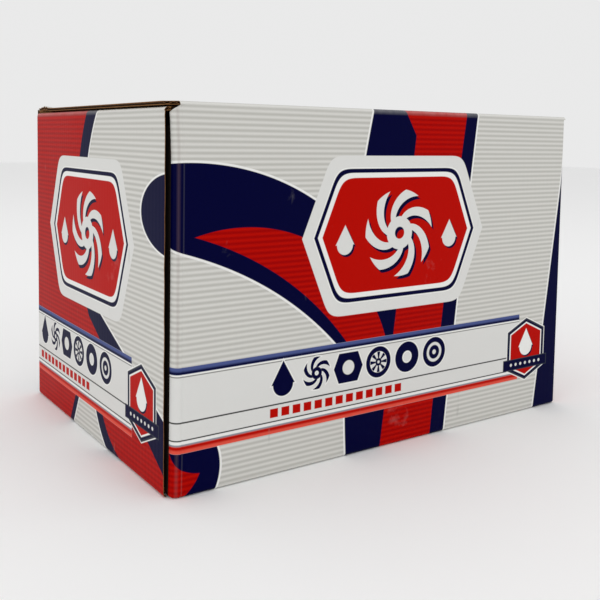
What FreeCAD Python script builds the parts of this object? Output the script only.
"""Boxed water pump: a printed corrugated carton with an engine coolant pump standing in it.

Frame: millimetres, +Z up, origin at the middle of the carton's base.  The long front panel faces
-Y and the left end panel faces -X.  The pump's axis is vertical, impeller down, drive hub up.
"""
import FreeCAD, Part
import math
import os
import re

import Sketcher

Vector = FreeCAD.Vector
Rotation = FreeCAD.Rotation

doc = FreeCAD.newDocument("boxed_water_pump")
sheet = doc.addObject("Spreadsheet::Sheet", "Sizes")

# ------------------------------------------------------------------ driving dimensions
SIZES = [
    ("carton_length", 243.0, "outside length, left end to right end"),
    ("carton_depth", 172.0, "outside depth, front to back"),
    ("carton_height", 163.0, "outside height, base to top of lid"),
    ("board", 1.5, "thickness of the fine-flute corrugated board"),
    ("lid_lift", 0.85, "air between the dust flaps and the lid"),
    ("lid_side_gap", 0.3, "how far the lid stops short of each end panel's face"),
    ("crease_gap", 0.1, "crease clearance between two panels that fold on each other"),
    ("back_step", 0.6, "drop of the back panel's top edge below the lid's face"),
    ("raw_edge_head", 4.0, "left end panel's cut edge to the front face, at the top"),
    ("raw_edge_foot", 6.0, "the same at the base"),
    ("glue_flap_rise", 8.0, "glue flap's start above the base"),
    ("glue_flap_width", 30.0, "glue flap, measured from the front panel"),
    ("glue_flap_taper", 9.0, "drop of the glue flap's ends over its width"),
    ("lid_back_gap", 1.8, "lid's back edge to the back panel's outer face"),
    ("tuck_drop", 0.6, "tuck flap's crease below the lid's underside"),
    ("tuck_step", 0.3, "tuck flap's crease inward from the lid's back edge"),
    ("tuck_length", 38.0, "tuck flap, crease to free edge"),
    ("tuck_tilt", 13.0, "tuck flap's lean inward from upright, degrees"),
    ("tuck_side_gap", 7.0, "tuck flap's ends to the carton's end faces"),
    ("tuck_corner", 14.0, "cut corner of the tuck flap"),
    ("dust_length", 60.0, "dust flap, crease to free edge"),
    ("dust_front_slope", 0.7, "dust flap's front edge, run back per unit of length"),
    ("dust_back_gap", 9.0, "dust flap's back edge to the back panel at its crease"),
    ("dust_back_taper", 7.0, "further run-in of that edge at the free end"),
    ("lock_reach", 114.0, "outer bottom flap, from the back wall forward"),
    ("lock_tongue_width", 80.0, "tongue of the outer bottom flap"),
    ("lock_tongue_reach", 34.0, "tongue beyond its riser"),
    ("notch_front", 0.0, "y of the notch's bottom in the inner bottom flap"),
    ("inner_reach", 104.0, "inner bottom flap, from the front wall back"),
    ("side_reach", 76.0, "side bottom flaps, from the end walls inward"),
    ("side_taper", 26.0, "run-in of the side bottom flaps' edges"),
    ("pump_offset", -24.0, "x of the pump's axis in the carton"),
    ("pump_seat", 50.0, "height of the pump's mounting face"),
    ("gasket_thick", 0.8, "mounting gasket"),
    ("deck_margin", 0.9, "insert's clearance to the carton walls"),
    ("deck_hole", 54.0, "radius of the insert's impeller opening"),
    ("flange_thick", 9.0, "web of the mounting flange"),
    ("boss_radius", 10.5, "radius of each bolt boss"),
    ("boss_height", 15.0, "height of each bolt boss"),
    ("bolt_hole", 4.25, "radius of each bolt hole"),
    ("chamber_outer", 57.0, "radius of the impeller chamber's casting"),
    ("chamber_inner", 49.0, "radius of the impeller chamber"),
    ("chamber_deep", 16.0, "depth of the impeller chamber"),
    ("chamber_roof", 23.0, "top of the chamber's casting above the mounting face"),
    ("snout_foot", 33.0, "snout radius at the chamber"),
    ("snout_radius", 21.0, "snout radius at its top"),
    ("snout_top", 77.0, "top of the snout above the mounting face"),
    ("web_thick", 5.0, "webs that brace the snout"),
    ("neck_outer", 19.0, "hose neck radius"),
    ("neck_inner", 15.0, "hose neck bore radius"),
    ("neck_reach", 112.0, "end of the hose neck from the pump's axis"),
    ("neck_level", 24.0, "hose neck's centre above the mounting face"),
    ("shaft_radius", 8.0, "shaft"),
    ("shaft_low", -12.5, "impeller end of the shaft from the mounting face"),
    ("shaft_high", 97.0, "hub end of the shaft from the mounting face"),
    ("race_outer", 15.0, "bearing sleeve outside radius"),
    ("race_inner", 12.2, "bearing sleeve bore radius"),
    ("race_low", 34.0, "bearing sleeve's lower end"),
    ("race_high", 75.0, "bearing sleeve's upper end"),
    ("ball_radius", 2.75, "bearing ball"),
    ("ball_pitch", 10.3, "radius of the ball circle"),
    ("ball_clearance", 0.03, "clearance of each ball in its groove"),
    ("pocket_clearance", 0.12, "clearance of each ball in its cage pocket"),
    ("rear_row", 43.0, "height of the ball row by the seal"),
    ("front_row", 66.0, "height of the ball row by the hub"),
    ("cage_inner", 9.4, "ball cage inside radius"),
    ("cage_outer", 11.3, "ball cage outside radius"),
    ("cage_height", 8.0, "ball cage height"),
    ("seal_bore", 18.25, "bore of the housing for the water seal"),
    ("seal_low", 16.0, "water seal's shoulder above the mounting face"),
    ("seal_high", 26.0, "top of the water seal"),
    ("rub_face", 11.5, "height of the seal's rubbing face"),
    ("impeller_radius", 44.0, "impeller"),
    ("impeller_top", 5.0, "top of the impeller's disc"),
    ("impeller_low", -12.0, "lower edges of the vanes"),
    ("vane_thick", 2.2, "impeller vane"),
    ("vane_curve", 30.0, "radius of each vane's curve"),
    ("vane_sweep", 35.0, "turn of each vane from its root to its tip, degrees"),
    ("hub_disc", 38.0, "drive hub's disc radius"),
    ("hub_disc_thick", 5.0, "drive hub's disc"),
    ("hub_disc_level", 88.0, "underside of the hub's disc above the mounting face"),
    ("hub_bolt_circle", 28.0, "radius of the pulley bolt circle"),
    ("hub_pilot", 11.0, "radius of the pulley pilot"),
    ("tube_outer", 8.0, "bypass tube outside radius"),
    ("tube_inner", 6.8, "bypass tube bore radius"),
]
ALIASES = {alias for alias, value, note in SIZES}
SIZE = {alias: value for alias, value, note in SIZES}
BOLT_BOSSES = [(-52, -42), (-69, 8), (-42, 53), (18, 68), (78, 50), (98, 2), (74, -46), (14, -66)]
DOWEL_BOSSES = [2, 6]
SNOUT_WEBS = 4
VANES = 7
BALLS = 8
HUB_HOLES = 4
SPRING_TURNS = 4

for row, (alias, value, note) in enumerate(SIZES, start=1):
    sheet.set(f"A{row}", note)
    sheet.set(f"B{row}", str(value))
    sheet.setAlias(f"B{row}", alias)
doc.recompute()

nodes = {}


# ------------------------------------------------------------------ helpers
def formula(text):
    """Point every name of the size table at its cell."""
    return re.sub(r"[a-z_]+", lambda found: "Sizes." + found.group()
                  if found.group() in ALIASES else found.group(), str(text))


def bind(thing, **formulas):
    for prop, text in formulas.items():
        thing.setExpression(prop, formula(text))


def place(thing, x="0", y="0", z="0", turn=None):
    """Place a piece: x, y and z are formulas, and turn is a Rotation or (axis, degrees)."""
    if turn:
        spin = turn if isinstance(turn, Rotation) else Rotation(Vector(*turn[0]), turn[1])
        thing.Placement = FreeCAD.Placement(Vector(), spin)
    for axis, text in zip("xyz", (x, y, z)):
        thing.setExpression("Placement.Base." + axis, formula(text))
    return thing


def box(name, size, at):
    thing = doc.addObject("Part::Box", name)
    bind(thing, Length=size[0], Width=size[1], Height=size[2])
    return place(thing, *at)


def cylinder(name, radius, height, at=("0", "0", "0"), turn=None, sector=None):
    thing = doc.addObject("Part::Cylinder", name)
    bind(thing, Radius=radius, Height=height)
    if sector:
        thing.Angle = sector
    return place(thing, *at, turn=turn)


def fuse(name, things):
    thing = doc.addObject("Part::MultiFuse", name)
    thing.Shapes = list(things)
    thing.Refine = True
    return thing


def cut(name, base, tools):
    tools = list(tools)
    thing = doc.addObject("Part::Cut", name)
    thing.Base = base
    thing.Tool = tools[0] if len(tools) == 1 else fuse(name + "_tools", tools)
    thing.Refine = True
    return thing


def group(name, things):
    """Several separate solids kept as one sub-part."""
    thing = doc.addObject("Part::Compound", name)
    thing.Links = list(things)
    return thing


def keep(label, thing):
    """Name a finished sub-part."""
    thing.Label = label
    nodes[label] = thing
    return thing


def pump_ring(name, outer, inner, low, high):
    """A plain ring about the pump's axis, its heights counted from the mounting face."""
    at = ("pump_offset", "0", f"pump_seat + ({low})")
    height = f"({high}) - ({low})"
    solid = cylinder(name + "_outside", outer, height, at)
    return cut(name, solid, [cylinder(name + "_inside", inner, height, at)])


def new_body(name):
    body = doc.addObject("PartDesign::Body", name)
    doc.recompute()
    return body


def outline(body, role, corners, name):
    """Closed outline on one of the body's own planes: each corner has its two distances bound."""
    sketch = body.newObject("Sketcher::SketchObject", name)
    plane = next(item for item in body.Origin.OriginFeatures if item.Role == role)
    sketch.AttachmentSupport = (plane, [""])
    sketch.MapMode = "FlatFace"
    count = len(corners)
    spots = [Vector(math.cos(2 * math.pi * i / count), math.sin(2 * math.pi * i / count), 0) * 50
             for i in range(count)]
    for i in range(count):
        sketch.addGeometry(Part.LineSegment(spots[i], spots[(i + 1) % count]), False)
    for i in range(count):
        sketch.addConstraint(Sketcher.Constraint("Coincident", i, 2, (i + 1) % count, 1))
    for i, corner in enumerate(corners):
        for kind, start, text in zip(("DistanceX", "DistanceY"), (spots[i].x, spots[i].y), corner):
            index = sketch.addConstraint(Sketcher.Constraint(kind, -1, 1, i, 1, start))
            sketch.setExpression(f"Constraints[{index}]", formula(text))
    return sketch


def sheet_piece(name, corners, thick="board"):
    """A flat piece of board: its outline lies on the body's XY plane and is padded upward."""
    body = new_body(name)
    pad = body.newObject("PartDesign::Pad", name + "_pad")
    pad.Profile = outline(body, "XY_Plane", corners, name + "_outline")
    pad.setExpression("Length", formula(thick))
    body.Tip = pad
    return body


def turned_piece(name, corners):
    """A piece turned about the pump's axis: corners are (radius, height above the mounting face)."""
    body = new_body(name)
    turned = body.newObject("PartDesign::Revolution", name + "_turned")
    sketch = outline(body, "XZ_Plane", corners, name + "_profile")
    turned.Profile = sketch
    turned.ReferenceAxis = (sketch, ["V_Axis"])
    turned.Angle = 360
    body.Tip = turned
    return place(body, "pump_offset", "0", "pump_seat")


# ------------------------------------------------------------------ carton: walls
UPRIGHT_END = ((1, 1, 1), 120)      # turns an outline's x to run back, and its y to run up


def wall_panels():
    """Front and back run the full length.  The front stops at its folded corner on the left."""
    keep("front_panel", box("front_wall", (
        "carton_length - board", "board", "carton_height - board - crease_gap"),
        ("-carton_length / 2 + board", "-carton_depth / 2", "0")))
    keep("back_panel", box("back_wall", (
        "carton_length", "board", "carton_height - back_step"),
        ("-carton_length / 2", "carton_depth / 2 - board", "0")))
    end_height = "carton_height - 2 * board - lid_lift - crease_gap"
    keep("right_end_panel", box("right_wall", (
        "board", "carton_depth - 2 * board", end_height),
        ("carton_length / 2 - board", "-carton_depth / 2 + board", "0")))
    # the left end's cut edge stands back from the front face, and leans back towards the base
    left = sheet_piece("left_wall", [
        ("raw_edge_foot", "0"), ("carton_depth - board", "0"),
        ("carton_depth - board", end_height), ("raw_edge_head", end_height)])
    keep("left_end_panel", place(left, "-carton_length / 2", "-carton_depth / 2", "0", UPRIGHT_END))


def glue_flap():
    """The front panel's flap, folded back behind the left end panel and glued to it."""
    low = "glue_flap_rise"
    high = "carton_height - glue_flap_rise - board"
    body = sheet_piece("glue_flap_body", [
        ("0", low), ("glue_flap_width", f"{low} + glue_flap_taper"),
        ("glue_flap_width", f"{high} - glue_flap_taper"), ("0", high)])
    keep("glue_flap", place(body, "-carton_length / 2 + board", "-carton_depth / 2 + board", "0",
                            UPRIGHT_END))


# ------------------------------------------------------------------ carton: top closure
def lid():
    """Lid hinged on the front panel, its free corners cut, with the tuck flap at its back edge."""
    half = "(carton_length / 2 - lid_side_gap)"
    back = "(carton_depth / 2 - lid_back_gap)"
    body = sheet_piece("lid_body", [
        (f"-{half}", "-carton_depth / 2"), (half, "-carton_depth / 2"),
        (half, f"{back} - 3"), (f"{half} - 2", back), (f"-{half} + 2", back),
        (f"-{half}", f"{back} - 3")])
    place(body, "0", "0", "carton_height - board")
    keep("lid_panel", body)

    tuck_half = "(carton_length / 2 - tuck_side_gap)"
    flap = sheet_piece("tuck_body", [
        (f"-{tuck_half}", "0"), (tuck_half, "0"),
        (tuck_half, "tuck_length - tuck_corner"), (f"{tuck_half} - tuck_corner", "tuck_length"),
        (f"-{tuck_half} + tuck_corner", "tuck_length"), (f"-{tuck_half}", "tuck_length - tuck_corner")])
    # the outline's y runs down the flap, and its thickness faces the back panel
    place(flap, "0", f"{back} - tuck_step - board * cos(tuck_tilt * 1deg)",
          "carton_height - board - tuck_drop + board * sin(tuck_tilt * 1deg)",
          ((1, 0, 0), -90 - SIZE["tuck_tilt"]))
    keep("tuck_flap", flap)


def dust_flaps():
    """A flap on each end panel, folded in under the lid, with its front edge cut back."""
    for side, sign in (("left", -1), ("right", 1)):
        front = "-carton_depth / 2 + board + 0.5"
        crease = f"{sign} * carton_length / 2"
        free = f"{sign} * (carton_length / 2 - dust_length)"
        body = sheet_piece(side + "_dust_body", [
            (crease, front), (free, f"{front} + dust_front_slope * dust_length"),
            (free, "carton_depth / 2 - dust_back_gap - dust_back_taper"),
            (crease, "carton_depth / 2 - dust_back_gap")])
        place(body, "0", "0", "carton_height - 2 * board - lid_lift")
        keep(side + "_dust_flap", body)


# ------------------------------------------------------------------ carton: snap-lock bottom
def bottom_flaps():
    """Inner flap, two side flaps and the outer flap, whose tongue locks up through the notch."""
    half = "(carton_length / 2 - board - crease_gap)"
    front = "(-carton_depth / 2 + board)"
    back = "(carton_depth / 2 - board)"
    notch = "(lock_tongue_width / 2 + 2)"

    inner = sheet_piece("inner_bottom_body", [
        (f"-{half}", front), (half, front),
        (f"{half} - 18", f"{front} + inner_reach"), (notch, f"{front} + inner_reach"),
        (notch, "notch_front"), (f"-{notch}", "notch_front"),
        (f"-{notch}", f"{front} + inner_reach"), (f"-{half} + 18", f"{front} + inner_reach")])
    place(inner, "0", "0", "2 * (board + crease_gap)")
    keep("inner_bottom_flap", inner)

    for side, sign in (("left", -1), ("right", 1)):
        wall = f"{sign} * {half}"
        free = f"{sign} * ({half} - side_reach)"
        body = sheet_piece(side + "_bottom_body", [
            (wall, f"{front} + 1"), (free, f"{front} + side_taper"),
            (free, f"{back} - side_taper"), (wall, f"{back} - 1")])
        place(body, "0", "0", "board + crease_gap")
        keep(side + "_bottom_flap", body)

    plate = sheet_piece("lock_plate", [
        (f"-{half}", back), (f"-{half}", "22"), (f"-{notch} - 22", f"{back} - lock_reach"),
        (f"-{notch} - 1", f"{back} - lock_reach"), (f"-{notch} - 1", "notch_front + 2"),
        (f"{notch} + 1", "notch_front + 2"), (f"{notch} + 1", f"{back} - lock_reach"),
        (f"{notch} + 22", f"{back} - lock_reach"), (half, "22"), (half, back)])
    riser = box("lock_riser", ("lock_tongue_width", "board", "4 * board + 3 * crease_gap"),
                ("-lock_tongue_width / 2", "notch_front + 2", "0"))
    tongue = box("lock_tongue", ("lock_tongue_width", "lock_tongue_reach + board", "board"),
                 ("-lock_tongue_width / 2", "notch_front + 2 - lock_tongue_reach",
                  "3 * (board + crease_gap)"))
    keep("lock_bottom_flap", fuse("lock_flap", [plate, riser, tongue]))


# ------------------------------------------------------------------ insert that holds the pump
def insert():
    """Folded board stand: a deck with the impeller's opening, on a leg at each end."""
    left = "(-carton_length / 2 + 2 * board + deck_margin)"
    right = "(carton_length / 2 - board - deck_margin)"
    depth = "(carton_depth - 2 * board - 2 * deck_margin)"
    level = "(pump_seat - gasket_thick - board)"
    deck = box("deck_blank", (f"{right} - {left}", depth, "board"), (left, f"-{depth} / 2", level))
    holes = [cylinder("deck_opening", "deck_hole", "4 * board",
                      ("pump_offset", "0", f"{level} - board"))]
    for index in DOWEL_BOSSES:
        x, y = BOLT_BOSSES[index]
        holes.append(cylinder(f"deck_dowel_hole_{index}", "boss_radius - 1.5", "4 * board",
                              (f"pump_offset + {x}", str(y), f"{level} - board")))
    keep("insert_deck", cut("deck", deck, holes))
    foot = "3 * (board + crease_gap)"
    leg_size = ("board", depth, f"{level} - crease_gap - ({foot})")
    keep("insert_left_leg", box("left_leg", leg_size, (left, f"-{depth} / 2", foot)))
    keep("insert_right_leg", box("right_leg", leg_size, (f"{right} - board", f"-{depth} / 2", foot)))


# ------------------------------------------------------------------ pump: casting and gasket
def flange_outline(name, thick, level, grow="0"):
    """The flange: a web through the bolt centres with a round boss at each."""
    corners = [(str(x), str(y)) for x, y in BOLT_BOSSES]
    web = sheet_piece(name + "_web", corners, thick)
    place(web, "pump_offset", "0", level)
    pads = [cylinder(f"{name}_pad_{i}", f"boss_radius + {grow}", thick,
                     (f"pump_offset + {x}", str(y), level)) for i, (x, y) in enumerate(BOLT_BOSSES)]
    return [web] + pads


def bolt_holes(name, level, height, radius="bolt_hole", which=None):
    spots = [spot for i, spot in enumerate(BOLT_BOSSES) if which is None or i in which]
    return [cylinder(f"{name}_{i}", radius, height, (f"pump_offset + {x}", str(y), level))
            for i, (x, y) in enumerate(spots)]


def pump_housing():
    core = turned_piece("housing_core", [
        ("0", "0"), ("chamber_outer", "0"), ("chamber_outer", "chamber_roof - 5"),
        ("chamber_outer - 5", "chamber_roof"), ("snout_foot", "chamber_roof + 4"),
        ("snout_foot - 5", "chamber_roof + 12"), ("snout_radius", "snout_top - 16"),
        ("snout_radius", "snout_top - 1.5"), ("snout_radius - 1.5", "snout_top"), ("0", "snout_top")])
    solids = flange_outline("flange", "flange_thick", "pump_seat") + [core]
    solids += [cylinder(f"boss_{i}", "boss_radius", "boss_height",
                        (f"pump_offset + {x}", str(y), "pump_seat"))
               for i, (x, y) in enumerate(BOLT_BOSSES)]
    along_x = ((0, 1, 0), 90)
    neck_at = ("pump_offset + 20", "8", "pump_seat + neck_level")
    solids.append(cylinder("neck", "neck_outer", "neck_reach - 20", neck_at, along_x))
    solids.append(cylinder("neck_bead", "neck_outer + 1.6", "4",
                           ("pump_offset + neck_reach - 9", "8", "pump_seat + neck_level"), along_x))
    solids.append(cylinder("tube_boss", "tube_outer + 4", "26",
                           ("pump_offset - 66", "-14", "pump_seat + 18"), along_x))
    solids.append(box("neck_rib", ("52", "6", "neck_level - 2"),
                      ("pump_offset + 40", "5", "pump_seat + 2")))
    solids += [snout_web(i) for i in range(SNOUT_WEBS)]
    blank = fuse("housing_blank", solids)

    bores = [
        pump_bore("impeller_chamber", "chamber_inner", "-1", "chamber_deep"),
        pump_bore("seal_pocket", "seal_bore", "chamber_deep - 1", "seal_high"),
        pump_bore("drain_space", "race_outer - 1.5", "seal_high - 1", "race_low + 1"),
        pump_bore("bearing_bore", "race_outer", "race_low", "snout_top + 1"),
        cylinder("neck_bore", "neck_inner", "neck_reach - 38",
                 ("pump_offset + 40", "8", "pump_seat + neck_level"), along_x),
        box("neck_passage", ("18", "24", "neck_level + 6"),
            ("pump_offset + 34", "-4", "pump_seat + 2")),
        cylinder("tube_bore", "tube_outer", "30",
                 ("pump_offset - 68", "-14", "pump_seat + 18"), along_x),
        cylinder("weep_hole", "2.5", "60", ("pump_offset", "0", "pump_seat + 30"), ((1, 0, 0), 90)),
        cylinder("weep_recess", "6", "12", ("pump_offset", "-22", "pump_seat + 30"), ((1, 0, 0), 90)),
    ]
    bores += bolt_holes("housing_hole", "pump_seat - 1", "boss_height + 2")
    bores += bolt_holes("dowel_seat", "pump_seat - 1", "8", "6.5", DOWEL_BOSSES)
    keep("pump_housing", cut("housing", blank, bores))


def snout_web(index):
    """One sloping web between the snout and the chamber's roof."""
    about = Rotation(Vector(0, 0, 1), 45 + 360 * index / SNOUT_WEBS)
    web = sheet_piece(f"snout_web_{index}", [
        ("0", "chamber_roof - 6"), ("chamber_outer - 8", "chamber_roof - 6"),
        ("chamber_outer - 8", "chamber_roof + 1"), ("snout_radius + 2", "snout_top - 20"),
        ("0", "snout_top - 20")], "web_thick")
    stand = about.multiply(Rotation(Vector(1, 0, 0), 90))
    half = about.multVec(Vector(0, SIZE["web_thick"] / 2, 0))
    return place(web, f"pump_offset + {half.x}", f"{half.y}", "pump_seat", stand)


def pump_bore(name, radius, low, high):
    """A round cutter on the pump's axis, its heights counted from the mounting face."""
    return cylinder(name, radius, f"({high}) - ({low})", ("pump_offset", "0", f"pump_seat + ({low})"))


def housing_trim():
    gasket = fuse("gasket_blank", flange_outline("gasket", "gasket_thick", "pump_seat - gasket_thick")
                  + [pump_bore("gasket_round", "chamber_outer", "-gasket_thick", "0")])
    openings = [pump_bore("gasket_opening", "chamber_inner + 0.5", "-gasket_thick - 1", "1")]
    openings += bolt_holes("gasket_hole", "pump_seat - 2", "4", "bolt_hole + 0.3")
    openings += bolt_holes("gasket_dowel", "pump_seat - 2", "4", "7", DOWEL_BOSSES)
    keep("mounting_gasket", cut("gasket_sheet", gasket, openings))

    dowels = []
    for i, index in enumerate(DOWEL_BOSSES):
        x, y = BOLT_BOSSES[index]
        at = (f"pump_offset + {x}", str(y), "pump_seat - 5")
        dowels.append(cut(f"dowel_{i}", cylinder(f"dowel_outside_{i}", "6.5", "12", at),
                          [cylinder(f"dowel_inside_{i}", "5.2", "12", at)]))
    keep("dowel_sleeves", group("dowels", dowels))

    along_x = ((0, 1, 0), 90)
    tube_at = ("pump_offset - 92", "-14", "pump_seat + 18")
    tube = fuse("tube_blank", [
        cylinder("tube_wall", "tube_outer", "38", tube_at, along_x),
        cylinder("tube_bead", "tube_outer + 1", "3", ("pump_offset - 88", "-14", "pump_seat + 18"),
                 along_x)])
    keep("bypass_tube", cut("tube", tube, [
        cylinder("tube_hollow", "tube_inner", "40", tube_at, along_x)]))

    keep("weep_cap", cylinder("weep_cap_disc", "6", "1.4",
                              ("pump_offset", "-23.5", "pump_seat + 30"), ((1, 0, 0), 90)))


# ------------------------------------------------------------------ pump: bearing and shaft
def groove(name, level):
    """The round groove that one row of balls runs in."""
    ring = doc.addObject("Part::Torus", name)
    bind(ring, Radius1="ball_pitch", Radius2="ball_radius + ball_clearance")
    return place(ring, "pump_offset", "0", f"pump_seat + {level}")


def shaft_bearing():
    race = pump_ring("race_blank", "race_outer", "race_inner", "race_low", "race_high")
    keep("bearing_sleeve", cut("race", race, [
        groove("race_groove_rear", "rear_row"), groove("race_groove_front", "front_row")]))

    for row in ("rear", "front"):
        level = row + "_row"
        balls = []
        pockets = []
        for i in range(BALLS):
            angle = 2 * math.pi * (i + 0.5) / BALLS
            at = (f"pump_offset + ball_pitch * {math.cos(angle):.9f}",
                  f"ball_pitch * {math.sin(angle):.9f}", f"pump_seat + {level}")
            ball = doc.addObject("Part::Sphere", f"{row}_ball_{i}")
            bind(ball, Radius="ball_radius")
            balls.append(place(ball, *at))
            outward = Rotation(Vector(0, 0, 1), Vector(math.cos(angle), math.sin(angle), 0))
            pockets.append(cylinder(f"{row}_pocket_{i}", "ball_radius + pocket_clearance", "ball_pitch", (
                f"pump_offset + ball_pitch / 2 * {math.cos(angle):.9f}",
                f"ball_pitch / 2 * {math.sin(angle):.9f}", f"pump_seat + {level}"), outward))
        keep(row + "_balls", group(row + "_ball_row", balls))
        cage = pump_ring(row + "_cage_ring", "cage_outer", "cage_inner",
                         f"{level} - cage_height / 2", f"{level} + cage_height / 2")
        keep(row + "_ball_cage", cut(row + "_cage", cage, pockets))

    keep("rear_bearing_seal", pump_ring("rear_lip", "race_inner", "shaft_radius + 0.06",
                                        "race_low", "race_low + 2.5"))
    keep("front_bearing_seal", pump_ring("front_lip", "race_inner", "shaft_radius + 0.06",
                                         "race_high - 2.5", "race_high"))


def rotating_set():
    bar = turned_piece("shaft_bar", [
        ("0", "shaft_low"), ("shaft_radius - 0.8", "shaft_low"), ("shaft_radius", "shaft_low + 0.8"),
        ("shaft_radius", "shaft_high - 0.8"), ("shaft_radius - 0.8", "shaft_high"),
        ("0", "shaft_high")])
    keep("pump_shaft", cut("shaft", bar, [
        groove("shaft_groove_rear", "rear_row"), groove("shaft_groove_front", "front_row")]))

    hub = turned_piece("hub_turning", [
        ("shaft_radius", "hub_disc_level - 7"), ("15", "hub_disc_level - 7"),
        ("16", "hub_disc_level - 6"), ("16", "hub_disc_level - 2"), ("19", "hub_disc_level"),
        ("hub_disc - 1", "hub_disc_level"), ("hub_disc", "hub_disc_level + 1"),
        ("hub_disc", "hub_disc_level + hub_disc_thick - 1"),
        ("hub_disc - 1", "hub_disc_level + hub_disc_thick"),
        ("hub_pilot + 1", "hub_disc_level + hub_disc_thick"),
        ("hub_pilot", "hub_disc_level + hub_disc_thick + 1"),
        ("hub_pilot", "shaft_high + 0.5"), ("hub_pilot - 1", "shaft_high + 1.5"),
        ("shaft_radius", "shaft_high + 1.5")])
    holes = []
    for i in range(HUB_HOLES):
        angle = math.pi / 4 + 2 * math.pi * i / HUB_HOLES
        for kind, reach, radius in (("bolt", "hub_bolt_circle", "4.25"), ("light", "24", "5")):
            spin = angle if kind == "bolt" else angle + math.pi / HUB_HOLES
            holes.append(cylinder(f"hub_{kind}_{i}", radius, "20", (
                f"pump_offset + {reach} * {math.cos(spin):.9f}", f"{reach} * {math.sin(spin):.9f}",
                "pump_seat + hub_disc_level - 5")))
    keep("drive_hub", cut("hub", hub, holes))

    wheel = turned_piece("impeller_turning", [
        ("shaft_radius", "impeller_low"), ("13", "impeller_low"), ("14", "impeller_low + 1"),
        ("17", "impeller_top - 2.5"), ("impeller_radius", "impeller_top - 2.5"),
        ("impeller_radius", "impeller_top"), ("shaft_radius", "impeller_top")])
    vanes = [vane(i) for i in range(VANES)]
    keep("impeller", fuse("impeller_wheel", [wheel] + vanes))


def vane(index):
    """One swept vane: a strip of a circle from inside the wheel's boss to just inside the rim."""
    root = Vector(12, 0, 0)
    tip = Rotation(Vector(0, 0, 1), SIZE["vane_sweep"]).multVec(
        Vector(SIZE["impeller_radius"] - 1.2, 0, 0))
    chord = tip - root
    curve = SIZE["vane_curve"]
    half_angle = math.degrees(math.asin(chord.Length / 2 / curve))
    lean = math.degrees(math.atan2(chord.y, chord.x))
    # the strip's own middle points along +90 degrees from its circle's centre
    sag = curve * math.cos(math.radians(half_angle))
    centre = (root + tip) / 2 + Rotation(Vector(0, 0, 1), lean - 90).multVec(Vector(sag, 0, 0))
    height = "impeller_top - 1 - (impeller_low)"
    outer = cylinder(f"vane_{index}_outside", "vane_curve + vane_thick", height, sector=2 * half_angle)
    inner = cylinder(f"vane_{index}_inside", "vane_curve", height, sector=2 * half_angle)
    strip = cut(f"vane_{index}", outer, [inner])
    about = Rotation(Vector(0, 0, 1), 360 * index / VANES)
    centre = about.multVec(centre)
    spin = about.multiply(Rotation(Vector(0, 0, 1), lean + 90 - half_angle))
    return place(strip, f"pump_offset + {centre.x}", f"{centre.y}", "pump_seat + impeller_low", spin)


# ------------------------------------------------------------------ pump: water seal
def water_seal():
    """Spring-loaded carbon ring held in a pressed cup, rubbing on the seat that turns."""
    keep("seal_cup", turned_piece("seal_cup_turning", [
        ("10", "seal_high - 1"), ("seal_bore - 1", "seal_high - 1"), ("seal_bore - 1", "seal_low - 1.2"),
        ("seal_bore + 2.5", "seal_low - 1.2"), ("seal_bore + 2.5", "seal_low"),
        ("seal_bore", "seal_low"), ("seal_bore", "seal_high"), ("10", "seal_high")]))
    keep("seal_carbon_ring", turned_piece("carbon_turning", [
        ("9.6", "rub_face"), ("13", "rub_face"), ("13", "rub_face + 1"), ("14.2", "rub_face + 2"),
        ("14.2", "seal_low + 0.6"), ("9.6", "seal_low + 0.6")]))
    keep("seal_bellows", turned_piece("bellows_turning", [
        ("10.2", "seal_low + 0.6"), ("13.8", "seal_low + 0.6"), ("13.8", "seal_low + 1.6"),
        ("11.6", "seal_low + 2.4"), ("12.8", "seal_low + 4"), ("11.6", "seal_low + 5.6"),
        ("12.8", "seal_low + 7.2"), ("12.8", "seal_high - 1"), ("10.2", "seal_high - 1")]))
    keep("seal_seat", turned_piece("seat_turning", [
        ("9.5", "impeller_top + 1.2"), ("14.5", "impeller_top + 1.2"), ("14.5", "rub_face - 1"),
        ("13.6", "rub_face - 0.05"), ("9.5", "rub_face - 0.05")]))
    keep("seat_boot", turned_piece("boot_turning", [
        ("shaft_radius", "impeller_top"), ("14.5", "impeller_top"), ("14.5", "impeller_top + 1.2"),
        ("9.5", "impeller_top + 1.2"), ("9.5", "rub_face - 1"), ("shaft_radius", "rub_face - 1")]))

    wire = 0.6
    pitch = (SIZE["seal_high"] - SIZE["seal_low"] - 3.4 - 2 * wire) / SPRING_TURNS
    path = Part.makeHelix(pitch, pitch * SPRING_TURNS, 15.4)
    section = Part.Wire(Part.makeCircle(wire, path.Vertexes[0].Point, Vector(0, 1, 0)))
    spring = doc.addObject("Part::Feature", "spring_coil")
    spring.Shape = Part.Wire(path).makePipeShell([section], True, True)
    keep("seal_spring", place(spring, "pump_offset", "0", f"pump_seat + seal_low + 1 + {wire}"))


# ------------------------------------------------------------------ build, check and write
wall_panels()
glue_flap()
lid()
dust_flaps()
bottom_flaps()
insert()
pump_housing()
housing_trim()
shaft_bearing()
rotating_set()
water_seal()
doc.recompute()

for thing in doc.Objects:
    if "Invalid" in thing.State or "Error" in thing.State:
        raise RuntimeError(f"{thing.Name} failed to build: {thing.State}")

os.makedirs("parts", exist_ok=True)
for label, thing in sorted(nodes.items()):
    shape = thing.Shape
    if shape.isNull() or not shape.isValid() or not shape.Solids:
        raise RuntimeError(f"{label} is not a sound solid")
    shape.exportStep(f"parts/{label}.step")
    print(f"{label:22s} solids {len(shape.Solids):2d}  volume {shape.Volume:10.1f}  "
          f"z {shape.BoundBox.ZMin:7.2f} to {shape.BoundBox.ZMax:7.2f}")
